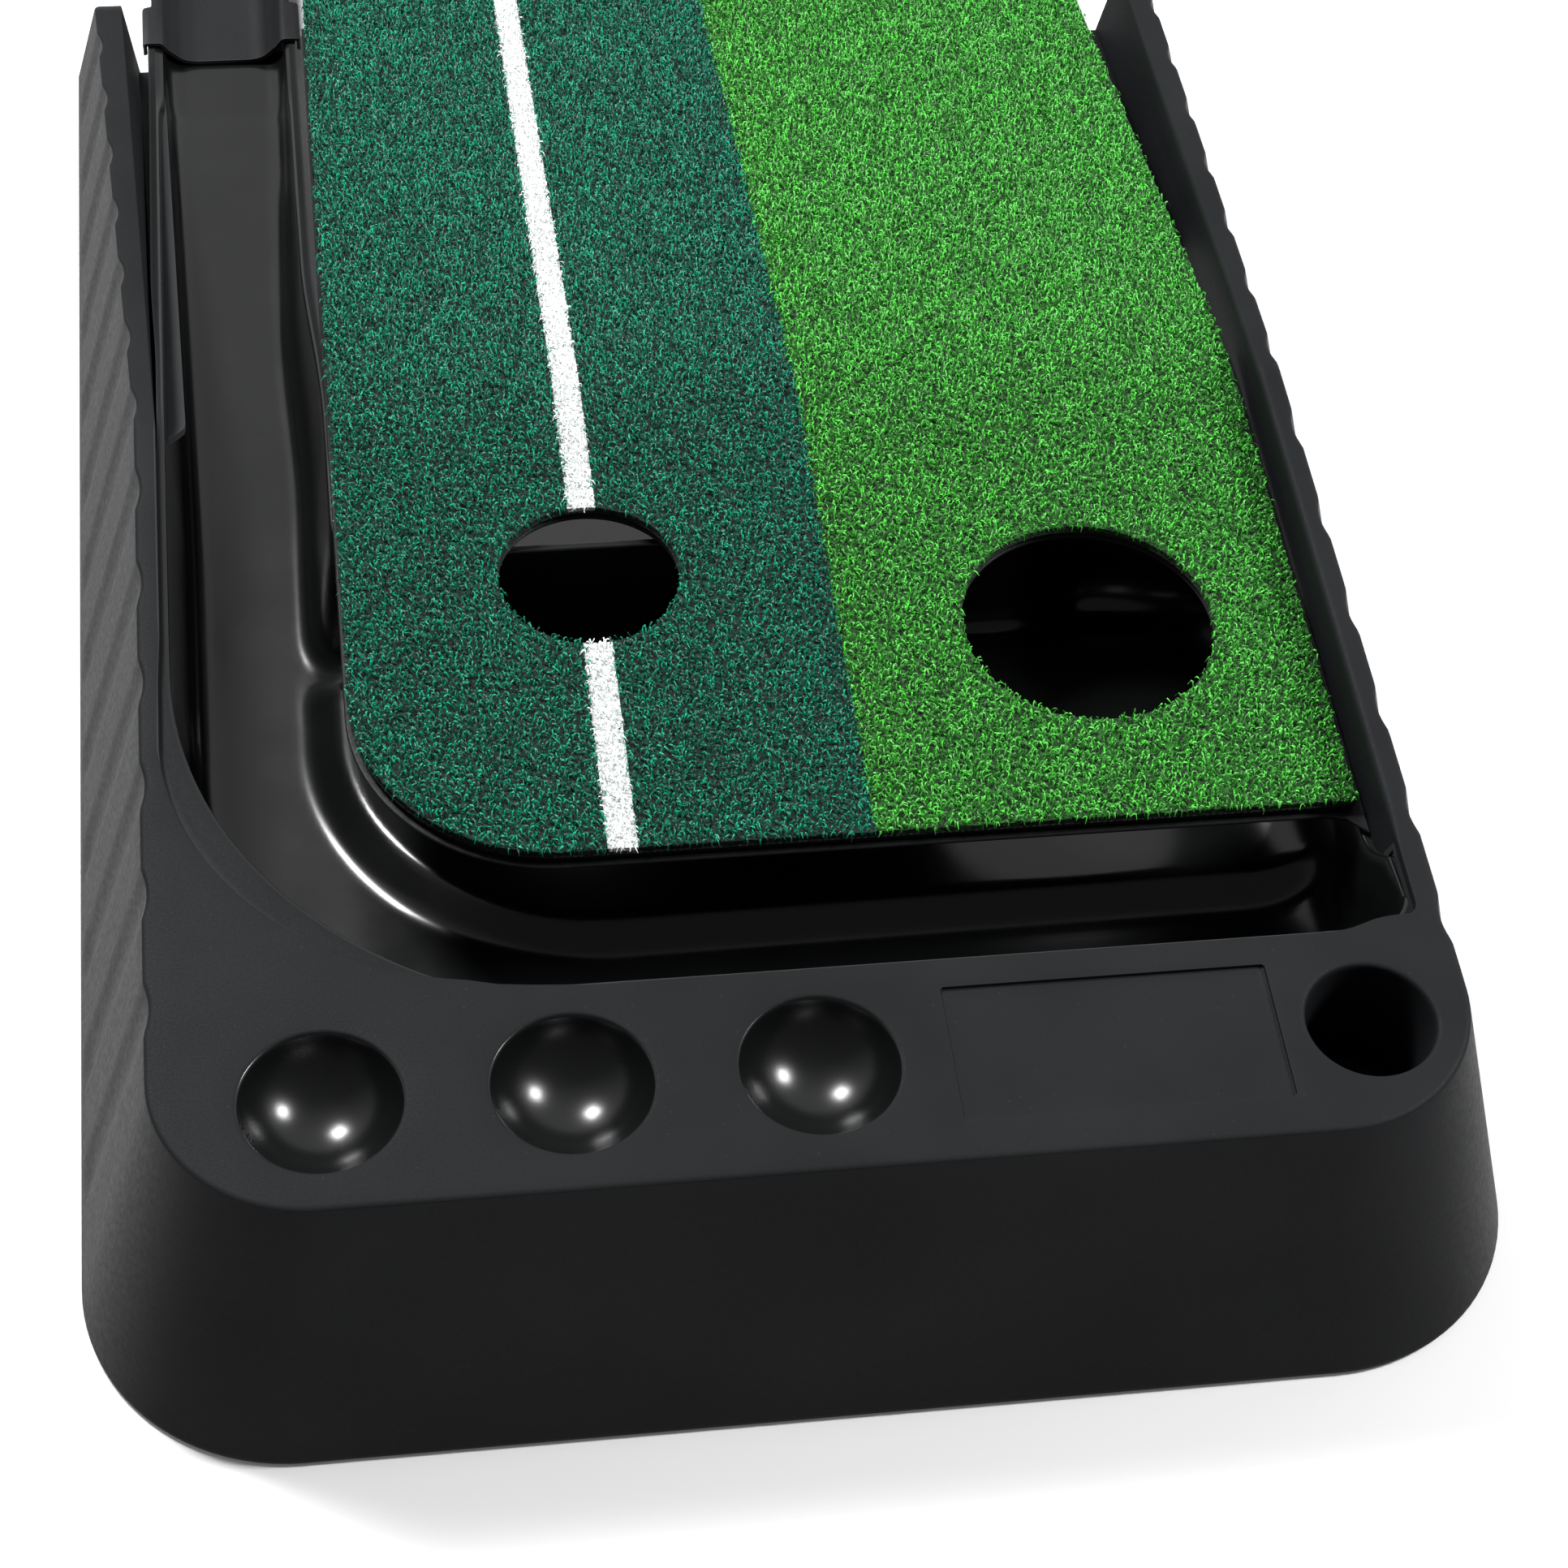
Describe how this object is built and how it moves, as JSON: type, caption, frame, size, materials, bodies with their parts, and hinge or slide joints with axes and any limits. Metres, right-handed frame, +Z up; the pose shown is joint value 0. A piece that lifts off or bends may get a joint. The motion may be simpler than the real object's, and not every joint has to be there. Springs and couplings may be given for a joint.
{
  "type": "practice putting mat",
  "caption": "Indoor putting trainer: a flared black base with target holes and ball cups, a two-tone turf mat with a white line running up on to it, and a nested ball-return track alongside.",
  "frame": {"origin": "middle of the whole footprint, on the floor", "axes": "+X to the right seen from the hole end, +Y from the hole end towards the golfer along the mat, +Z up"},
  "size_m": [0.424, 2.647, 0.0935],
  "materials": {
    "matte_black": "fine matte texture",
    "gloss_black": "polished",
    "deck_black": "satin",
    "track_black": "satin",
    "steel": "zinc plated",
    "rubber": "matte",
    "backing": "woven backing",
    "dark_turf": "curled tufted pile",
    "light_turf": "curled tufted pile",
    "white_turf": "curled tufted pile"
  },
  "bodies": {
    "base": {"base_housing": "matte_black", "ball_tray": "gloss_black", "mat_deck": "deck_black", "deck_screw_1": "steel", "deck_screw_2": "steel", "deck_screw_3": "steel", "deck_screw_4": "steel", "deck_screw_5": "steel", "deck_screw_6": "steel", "foot_1": "rubber", "foot_2": "rubber", "foot_3": "rubber", "foot_4": "rubber"},
    "mat": {"mat_backing_deck": "backing", "mat_backing_ramp": "backing", "mat_backing_run": "backing", "turf_dark_left": "dark_turf", "turf_dark_middle": "dark_turf", "turf_light": "light_turf", "white_line_front": "white_turf", "white_line_long": "white_turf"},
    "track_1": {"track_section_1": "track_black"},
    "track_2": {"track_section_2": "track_black"},
    "track_3": {"track_section_3": "track_black"},
    "track_4": {"track_section_4": "track_black"},
    "track_5": {"track_section_5": "track_black"},
    "end_cup": {"track_end_cup": "track_black"}
  },
  "joints": [
    {"name": "mat_lift", "type": "slide", "parent": "base", "child": "mat", "axis": [0, 0, 1], "range_m": [0, 0.09]},
    {"name": "track_1_pull", "type": "slide", "parent": "base", "child": "track_1", "axis": [0, 1, 0], "range_m": [0, 0.03]},
    {"name": "track_2_pull", "type": "slide", "parent": "track_1", "child": "track_2", "axis": [0, 1, 0], "range_m": [0, 0.03]},
    {"name": "track_3_pull", "type": "slide", "parent": "track_2", "child": "track_3", "axis": [0, 1, 0], "range_m": [0, 0.03]},
    {"name": "track_4_pull", "type": "slide", "parent": "track_3", "child": "track_4", "axis": [0, 1, 0], "range_m": [0, 0.03]},
    {"name": "track_5_pull", "type": "slide", "parent": "track_4", "child": "track_5", "axis": [0, 1, 0], "range_m": [0, 0.03]},
    {"name": "end_cup_pull", "type": "slide", "parent": "track_5", "child": "end_cup", "axis": [0, 1, 0], "range_m": [0, 0.03]}
  ]
}
